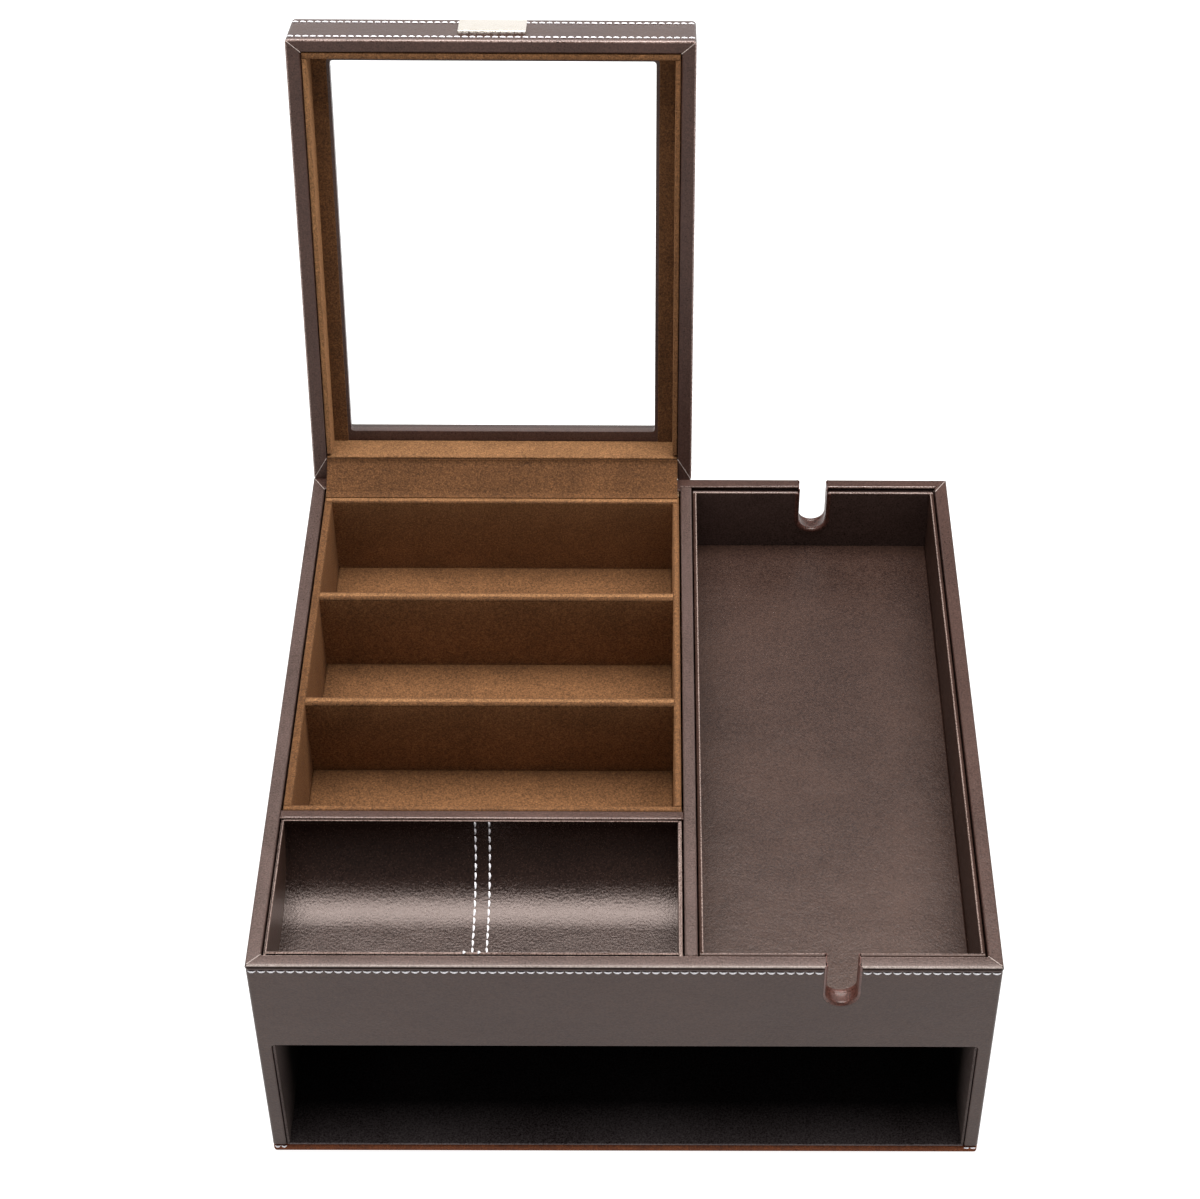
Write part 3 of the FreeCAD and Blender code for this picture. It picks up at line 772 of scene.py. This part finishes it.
seams = {"pitch": 4.09, "foot": 3.7, "inset": 0.6, "notchGap": 0.6}
frontFoot = {"height": 4.2, "start": 0.64, "end": 6.4, "pitch": 3.0}


def makeCaseStitching():
    bm = bmesh.new()
    x, y = rightHigh.x, rearHigh.y
    upper, lower, frontLower = walls["seamHeight"] * mm, seams["foot"] * mm, frontFoot["height"] * mm
    pitch, inset = seams["pitch"], seams["inset"] * mm
    gap = notchRadius + seams["notchGap"] * mm
    corner = walls["corner"] * mm
    for start, end in ((-x + inset, notchCentre - gap), (notchCentre + gap, x - inset)):
        straightRun(bm, (start, -y, upper), (end, -y, upper), (0, -1, 0), pitch)
        straightRun(bm, (end, y, upper), (start, y, upper), (0, 1, 0), pitch)
    for side in (-1, 1):
        reach = side * (y - corner)
        for z in (upper, lower):
            straightRun(bm, (side * x, reach, z), (side * x, -reach, z), (side, 0, 0), pitch)
        start, end = [side * (x - frontFoot[key] * mm) for key in ("start", "end")]
        straightRun(bm, (start, -y - nearly, frontLower), (end, -y - nearly, frontLower), (0, -1, 0),
                    frontFoot["pitch"])
    straightRun(bm, (x - corner, y, lower), (-x + corner, y, lower), (0, 1, 0), pitch)
    makePiece("caseStitching", bm, stitchThread, "case", weighted=False, smooth=60)


makeCaseStitching()
print("stitching ready")


# cable notch trims

notch = {
    "outer": [(-0.02, 0.5), (-0.2, 0.275), (-0.12, 0.05), (0.3, -0.495), (0.8, -0.81), (1.5, -0.9),
              (2.1, -0.765), (2.6, -0.45)],    # depth behind the outer face, growth of the radius
    "inner": [(2.6, -0.45), (2.1, -0.765), (1.5, -0.9), (0.8, -0.81), (0.1, -0.54), (-0.245, -0.09),
              (-0.35, 0.6), (-0.28, 1.2), (0.12, 1.5)],    # depth behind the inner face
    "flange": 0.15, "flangeFall": 0.45, "thick": 0.35,
}


def uProfile(bm, radius, y, top):
    before = set(bm.edges)
    for foot in notchArc(bm, radius, y):
        up = bmesh.ops.extrude_vert_indiv(bm, verts=[foot])["verts"][0]
        up.co.z = top
    return [e for e in bm.edges if e not in before]


def makeNotchTrims():
    rimTop = frontTrimHigh.z
    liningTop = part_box("tray_front_lining")[1].z - notch["flangeFall"] * mm
    specs = {
        "front_notch_trim": (frontTrimLow.y, frontTrimHigh.y, -1),
        "rear_notch_trim": (rearTrimHigh.y, rearTrimLow.y, 1),
    }
    for name, (face, inner, out) in specs.items():
        bm = bmesh.new()
        steps = [(face - out * depth * mm, grow, rimTop) for depth, grow in notch["outer"]]
        steps += [(inner + out * depth * mm, grow, liningTop if depth < notch["flange"] else rimTop)
                  for depth, grow in notch["inner"]]
        rings = [uProfile(bm, notchRadius + grow * mm, y, top) for y, grow, top in steps]
        for first, second in zip(rings, rings[1:]):
            bmesh.ops.bridge_loops(bm, edges=first + second)
        foot = Vector((notchCentre, (face + inner) / 2, notchAxis - notchRadius))
        faceUp(bm, lambda f: (f.calc_center_median() - foot).length)
        thicken(bm, notch["thick"] * mm)
        makePiece(name.split("_")[0] + "NotchTrim", bm, trimLeather, "case", [name],
                  smooth=50)


makeNotchTrims()
print("notches ready")


# long tray

tray = {"outer": 0.7, "inner": 0.55, "pad": 0.9}


def makeTray():
    for name in ("tray_left_lining", "tray_right_lining", "tray_front_lining", "tray_rear_lining"):
        bm = cadCopy(name)
        low, high = span(bm)
        side = name.split("_")[1]
        upper = lambda e: flat(e) and middle(e).z > high.z - nearly
        inside = {"left": lambda p: p.x > high.x - nearly, "right": lambda p: p.x < low.x + nearly,
                  "front": lambda p: p.y > high.y - nearly, "rear": lambda p: p.y < low.y + nearly}[side]
        rounded(bm, tray["outer"] * mm, 3, 60, pick=lambda e: upper(e) and not inside(middle(e)))
        # painted highlight: inner top edges take the pale lip finish
        rounded(bm, tray["inner"] * mm, 3, 60, pick=lambda e: upper(e) and inside(middle(e)), finish=1)
        # painted light: the rear tray wall takes the lighter copy of the leather
        skin = {"front": trayLeather, "rear": paleLitLeather}.get(side, liningLeather)
        makePiece(side + "TrayWall", bm, [skin, lipHighlightLeather], "case", [name])
    low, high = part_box("tray_floor_board")[0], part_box("tray_floor_pad")[1]
    bm = rounded(board(low, high), tray["pad"] * mm, 3)
    makePiece("trayFloor", bm, floorLeather, "case",
              ["tray_floor_board", "tray_floor_pad"])


makeTray()


divider = {"bright": 0.5, "plain": 1.1}


def highUp(edge):    # one of the case's top edges
    return middle(edge).z > walls["upper"] * mm and flat(edge)


def makeDividers():
    for name in ("long_divider", "cross_divider"):
        bm = cadCopy(name)
        low = span(bm)[0]
        # painted highlight: the cross divider's front top edge takes the pale edge finish
        bright = lambda e: name == "cross_divider" and middle(e).y < low.y + nearly
        rounded(bm, divider["bright"] * mm, 4, 60, pick=lambda e: highUp(e) and bright(e), finish=1)
        rounded(bm, divider["plain"] * mm, 4, 60, pick=lambda e: highUp(e) and not bright(e))
        # painted light: the long divider takes the lighter copy of the leather
        skin = paleLitLeather if name == "long_divider" else edgeLeather
        makePiece(name.split("_")[0] + "Divider", bm, [skin, burnishedHighlightLeather], "case",
                  [name])


makeDividers()
print("tray and dividers ready")


# scoop

scoop = {
    "front": 8.0, "flatEnd": 45.5, "rear": 82.1, "edge": 133.4, "floor": 102.5, "bend": 10.0, "sheet": 1.8,
    "lip": 0.9, "lipFall": 0.5, "lipRound": 0.35, "endEdge": 0.75,
    "stitchRows": (-67.2, -60.9), "pitch": 4.2, "thread": 0.8, "taper": -0.35,
    "tack": (0.3, -0.9), "tackLength": 2.0,
}


def scoopProfile(x):
    y0, y1, y2 = [apronLow.y + scoop[key] * mm for key in ("front", "flatEnd", "rear")]
    edge, floor, bend = [scoop[key] * mm for key in ("edge", "floor", "bend")]
    bm = bmesh.new()
    line = [bm.verts.new((x, y0, edge)), bm.verts.new((x, y0, floor + bend))]

    def turned(centre, steps):
        bmesh.ops.spin(bm, geom=[line[-1]], cent=centre, axis=(1, 0, 0), angle=math.pi / 2, steps=steps)
        return sorted((v for v in bm.verts if v not in line), key=lambda v: v.co.y)

    line += turned((x, y0 + bend, floor + bend), 8)
    line.append(bm.verts.new((x, y1, floor)))
    curve = turned((x, y1, edge), 32)
    bmesh.ops.scale(bm, vec=(1, (y2 - y1) / (edge - floor), 1), verts=curve,
                    space=Matrix.Translation((0, -y1, 0)))
    line += curve
    return bm, line


def makeScoop():
    low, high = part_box("scoop_panel")
    bm, line = scoopProfile(low.x)
    profile = [v.co.copy() for v in line]
    fall = Vector((0, scoop["lip"] * mm, scoop["lipFall"] * mm))
    line = [bm.verts.new(profile[0] - fall), *line,
            bm.verts.new(profile[-1] + Vector((0, fall.y, -fall.z)))]
    sheetAcross(bm, line, high.x - low.x)
    lips = [e for e in bm.edges if len(e.link_faces) == 2 and middle(e).z > scoop["edge"] * mm - nearly]
    bmesh.ops.bevel(bm, geom=lips, offset=scoop["lipRound"] * mm, segments=3, profile=0.5,
                    affect="EDGES", material=-1)
    thicken(bm, scoop["sheet"] * mm)
    # painted highlight: the lip faces take the pale lip finish
    for face in bm.faces:
        if face.calc_center_median().z > (scoop["edge"] - scoop["lipFall"]) * mm - nearly:
            face.material_index = 1
    makePiece("scoopPanel", bm, [shadedScoopLeather, lipHighlightLeather], "case", ["scoop_panel"])
    bm = bmesh.new()
    places, normals = walked(profile, scoop["pitch"] * mm)
    for x in scoop["stitchRows"]:
        run = [Vector((x * mm, p.y, p.z)) for p in places]
        stitchRun(bm, run, normals, scoop["pitch"], scoop["thread"], scoop["taper"])
        tack = Vector(((x + scoop["tack"][1]) * mm, profile[0].y - scoop["tack"][0] * mm, profile[0].z))
        half = Vector((0, scoop["tackLength"] / 2 * mm, 0))
        straightRun(bm, tack - half, tack + half, (0, 0, 1), scoop["tackLength"])
    makePiece("scoopStitching", bm, stitchThread, "case", weighted=False, smooth=60)
    for name in ("scoop_left_lining", "scoop_right_lining"):
        # painted highlight: the top edges of the scoop ends take the pale lip finish
        bm = rounded(cadCopy(name), scoop["endEdge"] * mm, 3, 60, pick=highUp, finish=1)
        makePiece(name.split("_")[1] + "ScoopEnd", bm, [trayLeather, lipHighlightLeather], "case",
                  [name])


makeScoop()
print("scoop ready")


# glasses slots

slots = {"wall": 0.9, "divider": 1.7, "pad": 1.2}


def makeSlots():
    for side in ("left", "right", "front", "rear"):
        name = "slot_" + side + "_lining"
        bm = rounded(cadCopy(name), slots["wall"] * mm, 3, 60, pick=highUp, finish=1)
        # painted light and shade: the rear wall takes the lighter suede, the left wall the darker one, their
        # top edges the darker rolled suede
        skin = {"rear": litWallSuede, "left": shadedStripSuede}.get(side, boxSuede)
        makePiece(side + "SlotWall", bm, [skin, shadedRollSuede], "case", [name])
    for place in ("front", "rear"):
        name = "slot_" + place + "_divider"
        bm = rounded(cadCopy(name), slots["divider"] * mm, 4, 60,
                     pick=lambda e: highUp(e) and abs(along(e).x) > 0.9, finish=1)
        # painted light and shade: divider faces take the lighter suede, their top edges the darker rolled
        # suede
        makePiece(place + "SlotDivider", bm, [litWallSuede, shadedRollSuede], "case", [name])
    for place in ("front", "middle", "rear"):
        name = "slot_" + place + "_pad"
        bm = rounded(board(*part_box(name)), slots["pad"] * mm, 3)
        piece = makePiece(place + "SlotPad", bm, boxSuede, "case", [name])


makeSlots()
print("slots ready")


# cubby

cubbyEdge = 0.4


def makeCubby():
    names = {"cubby_floor_lining": "cubbyFloor", "cubby_side_linings": "cubbySides",
             "cubby_rear_lining": "cubbyBack", "cubby_ceiling_lining": "cubbyCeiling"}
    for node, name in names.items():
        bm = rounded(cadCopy(node), cubbyEdge * mm, 2, 60)
        skin = {"cubbyFloor": cubbyFelt, "cubbySides": cubbyCheek}.get(name, cubbyLining)
        makePiece(name, bm, skin, "case", [node])


makeCubby()
print("cubby ready")


# lid, modelled shut and turned open

lid = {
    "edge": 0.9, "rimEdge": 0.85, "corner": 1.8, "rearCorner": 0.6, "shortEdge": 0.3, "heel": 0.25,
    "glassBite": 4.5, "openingStep": 3.0, "openingCorner": 2.5, "glassEdge": 0.25,
    "liningEdge": 0.9, "liningShare": 0.3, "rearLip": 1.4, "rearSwell": 0.4,
    "seams": (4.7, 25.4), "pitch": 3.5, "frontInset": 0.5, "sideInset": 1.2, "sideSink": 0.3,
}


def closedBox(*names):
    bm = cadCopy(*names, closed=True)
    low, high = span(bm)
    bm.free()
    return low, high


def makeLidShell():
    low = closedBox("lid_left_rail")[0]
    high = closedBox("lid_right_rail")[1]
    frontLow, frontHigh = closedBox("lid_front_rail")
    rearInner = closedBox("lid_rear_rail")[0].y
    glassLow, glassHigh = closedBox("lid_glass")
    bm = board(low, high)
    well = board((frontLow.x, frontHigh.y, low.z - beyond), (frontHigh.x, rearInner, glassLow.z))
    bite, step = lid["glassBite"] * mm, lid["openingStep"] * mm
    pocket = board((glassLow.x, glassLow.y, low.z), (glassHigh.x, glassHigh.y, glassHigh.z))
    opening = board((glassLow.x + bite - step, glassLow.y + bite - step, low.z),
                    (glassHigh.x - bite + step, glassHigh.y - bite + step, high.z + beyond))
    rounded(opening, lid["openingCorner"] * mm, 4, pick=upright)
    bm = carve(bm, [well, pocket, opening])
    rounded(bm, lid["corner"] * mm, 5, pick=lambda e: upright(e) and middle(e).y < low.y + nearly)
    rounded(bm, lid["rearCorner"] * mm, 3, pick=lambda e: upright(e) and middle(e).y > high.y - nearly)
    top = lambda e: middle(e).z > high.z - nearly
    bottom = lambda e: middle(e).z < low.z + nearly
    rounded(bm, lid["edge"] * mm, 3, 50, pick=lambda e: bottom(e) and middle(e).y < high.y - nearly)
    # painted shade: the top edges take the dark dull finish
    rounded(bm, lid["edge"] * mm, 3, 50, pick=top, finish=1)
    makePiece("lidShell", bm, [caseLeather, foldShadeLeather], "lid",
              ["lid_left_rail", "lid_right_rail", "lid_front_rail", "lid_rear_rail", "lid_top_frame"],
              closed=True)


makeLidShell()


def makeLidRim():
    low, high = closedBox("lid_rim")
    left, right = closedBox("lid_left_rail")[1].x, closedBox("lid_right_rail")[0].x
    front, rear = closedBox("lid_front_rail")[1].y, closedBox("lid_rear_rail")[0].y
    stripLow, stripHigh = closedBox("lid_hinge_strip")
    outer = board(low, high)
    rounded(outer, lid["corner"] * mm, 5, pick=lambda e: upright(e) and middle(e).y < 0)
    rounded(outer, lid["rearCorner"] * mm, 3, pick=lambda e: upright(e) and middle(e).y > 0)
    hole = board((left, front, low.z - beyond), (right, rear, high.z + beyond))
    seat = board((stripLow.x, rear - beyond, low.z - beyond), (stripHigh.x, high.y + beyond, stripHigh.z))
    bm = carve(outer, [hole, seat])
    under = lambda e: (middle(e).z < low.z + nearly and middle(e).y < high.y - nearly
                       and e.calc_length() > lid["shortEdge"] * mm)
    inside = lambda p: p.y > low.y + mm and low.x + mm < p.x < high.x - mm
    rounded(bm, lid["rimEdge"] * mm, 3, 60, pick=lambda e: under(e) and inside(middle(e)))
    # painted highlight: the outer under edges take the pale edge finish
    rounded(bm, lid["rimEdge"] * mm, 3, 60, pick=lambda e: under(e) and not inside(middle(e)), finish=1)
    for vert in bm.verts:
        if vert.co.y > high.y - nearly and vert.co.z < low.z + nearly:
            vert.co.y += lid["heel"] * mm
    makePiece("lidRimBand", bm, [edgeLeather, burnishedHighlightLeather], "lid", ["lid_rim"],
              closed=True)


makeLidRim()


def makeLidLinings():
    names = {"lid_left_lining": "lidLeftLining", "lid_right_lining": "lidRightLining",
             "lid_front_lining": "lidFrontLining", "lid_rear_lining": "lidRearLining"}
    for node, name in names.items():
        bm = cadCopy(node, closed=True)
        low, high = span(bm)
        for vert in bm.verts:
            if name == "lidRearLining" and vert.co.y < low.y + nearly:
                vert.co.y += lid["rearLip"] * mm if vert.co.z < low.z + nearly else -lid["rearSwell"] * mm
        thin = min(high.x - low.x, high.y - low.y)
        rounded(bm, min(lid["liningEdge"] * mm, thin * lid["liningShare"]), 3, 60,
                pick=lambda e: middle(e).z < low.z + nearly)
        # painted light: the left and rear linings take the lighter suede
        skin = litWallSuede if name in ("lidLeftLining", "lidRearLining") else boxSuede
        makePiece(name, bm, skin, "lid", [node], closed=True)


makeLidLinings()


window = {
    "inset": 0.5, "corner": 1.6, "edge": 0.4, "reach": 80,    # reach leaves out the board's outer edges
    "step": 1.6, "flangeCorner": 2.0, "flangeUnder": 0.3, "flangeOver": 0.7, "flangeEdge": 0.45,
}


def makeWindow():
    low, high = closedBox("lid_inner_board")
    glassLow, glassHigh = closedBox("lid_glass")
    bite, reach = lid["glassBite"] * mm, window["reach"] * mm
    hole = board((glassLow.x + bite, glassLow.y + bite, low.z - beyond),
                 (glassHigh.x - bite, glassHigh.y - bite, farUp))
    rounded(hole, window["corner"] * mm, 4, pick=upright)
    bm = carve(board((low.x, low.y, low.z + window["inset"] * mm), high), [hole])
    centre = (low.x + high.x) / 2
    rounded(bm, window["edge"] * mm, 2, 50, pick=lambda e: abs(middle(e).x - centre) < reach and flat(e))
    makePiece("windowFrame", bm, edgeLeather, "lid", ["lid_inner_board"], closed=True)
    bite -= window["step"] * mm
    hole = board((glassLow.x + bite, glassLow.y + bite, low.z - beyond),
                 (glassHigh.x - bite, high.y + beyond, farUp))
    rounded(hole, window["flangeCorner"] * mm, 4, pick=lambda e: upright(e) and middle(e).y < 0)
    bm = carve(board((low.x, low.y, low.z - window["flangeUnder"] * mm),
                     (high.x, high.y, low.z + window["flangeOver"] * mm)), [hole])
    rounded(bm, window["flangeEdge"] * mm, 3, 50, pick=lambda e: middle(e).z < low.z and flat(e))
    # painted shade: the flange takes the darker suede
    makePiece("windowFlange", bm, shadedStripSuede, "lid", closed=True)


makeWindow()


def makeGlass():
    bm = rounded(cadCopy("lid_glass", closed=True), lid["glassEdge"] * mm, 2, 60)
    makePiece("windowPane", bm, windowGlass, "lid", ["lid_glass"], closed=True)


makeGlass()


def makeLidStitching():
    low = closedBox("lid_left_rail")[0]
    high = closedBox("lid_right_rail")[1]
    base = closedBox("lid_rim")[0].z
    sunk, corner, inset = [lid[key] * mm for key in ("sideSink", "sideInset", "frontInset")]
    bm = bmesh.new()
    for height in lid["seams"]:
        z = base + height * mm
        straightRun(bm, (low.x + inset, low.y, z), (high.x - inset, low.y, z), (0, -1, 0), lid["pitch"])
        for x, side in ((low.x + sunk, -1), (high.x - sunk, 1)):
            straightRun(bm, (x, low.y + corner, z), (x, high.y - corner, z), (side, 0, 0), lid["pitch"])
        straightRun(bm, (high.x - corner, high.y, z), (low.x + corner, high.y, z), (0, 1, 0), lid["pitch"])
    makePiece("lidStitching", bm, stitchThread, "lid", closed=True, weighted=False,
              smooth=60)


makeLidStitching()


clasp = {"edge": 0.8, "face": 0.3}


def makeClasp():
    low, high = closedBox("clasp_plate")
    face = low.y + clasp["face"] * mm
    bm = rounded(board(low, high), clasp["edge"] * mm, 4,
                 pick=lambda e: middle(e).y < face or abs(along(e).y) > 0.9)
    makePiece("claspPlate", bm, claspNickel, "lid", ["clasp_plate"], closed=True)


makeClasp()
print("lid ready")


# hinges and suede strip

def makeHinges():
    names = {"case_hinge_leaves": "caseHingeLeaves", "lid_hinge_leaves": "lidHingeLeaves",
             "hinge_pins": "hingePins", "case_hinge_screws": "caseHingeScrews",
             "lid_hinge_screws": "lidHingeScrews"}
    for node, name in names.items():
        closed = node.startswith("lid")
        bm = cadCopy(node, closed=closed)
        makePiece(name, bm, hingeMetal, "lid" if closed else "case", [node], closed=closed)


makeHinges()


strip = {"thick": 0.6, "glued": 3.0, "fold": 1.3, "sunk": 0.05, "off": 0.1}


def makeStrip():
    low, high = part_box("case_hinge_strip")
    lidLow = closedBox("lid_hinge_strip")[0]
    top = high.z - strip["sunk"] * mm
    glued = strip["glued"] * mm
    climb = Vector((0, -math.cos(openAngle), math.sin(openAngle)))    # up the open lid
    away = Vector((0, -climb.z, climb.y))    # off its face
    foot = Vector((low.x, hingePoint.y, hingePoint.z)) + away * strip["off"] * mm
    reach = hingePoint.y - lidLow.y
    path = [Vector((low.x, low.y, top)), Vector((low.x, low.y + glued, top)),
            foot + climb * (reach - glued / 2), foot + climb * reach]
    bm = bmesh.new()
    sheetAcross(bm, [bm.verts.new(place) for place in path], high.x - low.x)
    rounded(bm, strip["fold"] * mm, 5, 20)
    thicken(bm, strip["thick"] * mm)
    # painted shade: the strip takes the darker suede
    piece = makePiece("suedeHingeStrip", bm, shadedStripSuede, ("case", "lid", path[1], path[2]),
                      ["case_hinge_strip", "lid_hinge_strip"])


makeStrip()


mitre = {"start": 0.8, "radius": 0.2, "sunk": 0.07}


def seamBead(bm, start, end):
    line = end - start
    radius = mitre["radius"] * mm
    turn = line.to_track_quat("Z", "Y").to_matrix().to_4x4()
    bmesh.ops.create_cone(bm, cap_ends=True, segments=8, radius1=radius, radius2=radius, depth=line.length,
                          matrix=Matrix.Translation((start + end) / 2) @ turn)


def mitreBeads(outer, inner, level):    # both give their low x, high x, low y, high y
    start = mitre["start"] * mm
    bm = bmesh.new()
    for i, right in ((0, 1), (1, -1)):
        for j, back in ((2, 1), (3, -1)):
            seamBead(bm, Vector((outer[i] + right * start, outer[j] + back * start, level)),
                     Vector((inner[i], inner[j], level)))
    return bm


def makeMitreBeads():
    low, high = closedBox("lid_rim")
    inner = [closedBox("lid_left_rail")[1].x, closedBox("lid_right_rail")[0].x,
             closedBox("lid_front_rail")[1].y, closedBox("lid_rear_rail")[0].y]
    bm = mitreBeads([low.x, high.x, low.y, high.y], inner, low.z + mitre["sunk"] * mm)
    # painted highlight: the beads take the near-white glint finish
    makePiece("lidMitreBeads", bm, glintSeamLeather, "lid", closed=True, weighted=False, smooth=60)
    inner = [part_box("left_rim")[1].x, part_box("right_rim")[0].x,
             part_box("front_rim")[1].y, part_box("rear_rim")[0].y]
    bm = mitreBeads([leftLow.x, rightHigh.x, apronLow.y, rearHigh.y], inner,
                    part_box("front_rim")[1].z - mitre["sunk"] * mm)
    makePiece("caseMitreBeads", bm, glintSeamLeather, "case", weighted=False, smooth=60)


makeMitreBeads()
print("hinges and mitres ready")


# hidden boards keep their CAD shape and take a finish

for name in ("middle_deck", "hinge_rail", "tray_battens", "scoop_ribs"):
    finishes = nodeObjects[name].data.materials
    finishes.clear()
    finishes.append(boardCore)
